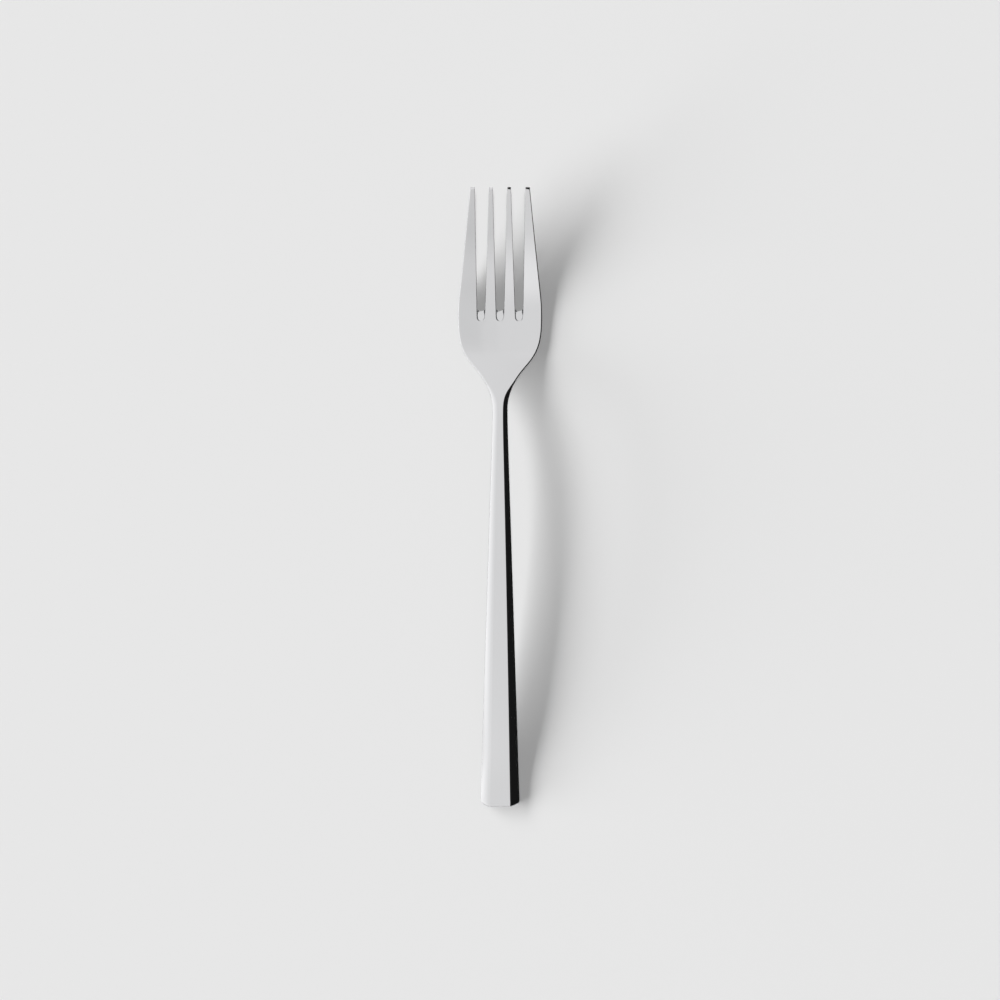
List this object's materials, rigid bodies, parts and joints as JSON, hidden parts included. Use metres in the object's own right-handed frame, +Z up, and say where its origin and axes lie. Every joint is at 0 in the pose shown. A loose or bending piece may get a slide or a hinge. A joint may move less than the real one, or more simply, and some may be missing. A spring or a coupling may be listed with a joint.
{
  "type": "dessert fork",
  "caption": "Polished steel dessert fork: pierced, tapering tines, slim neck and a faceted, arched handle that widens to its tail. Lies face up for lifting and cutting dessert.",
  "frame": {"origin": "on the table, under the middle of the fork's length and width", "axes": "+Y along the length, from the tail to the tips; +Z up, out of the face; X across the tines"},
  "size_m": [0.0246, 0.18, 0.0166],
  "materials": {
    "polished_steel": "polished"
  },
  "bodies": {
    "root": {"fork": "polished_steel"}
  },
  "joints": []
}
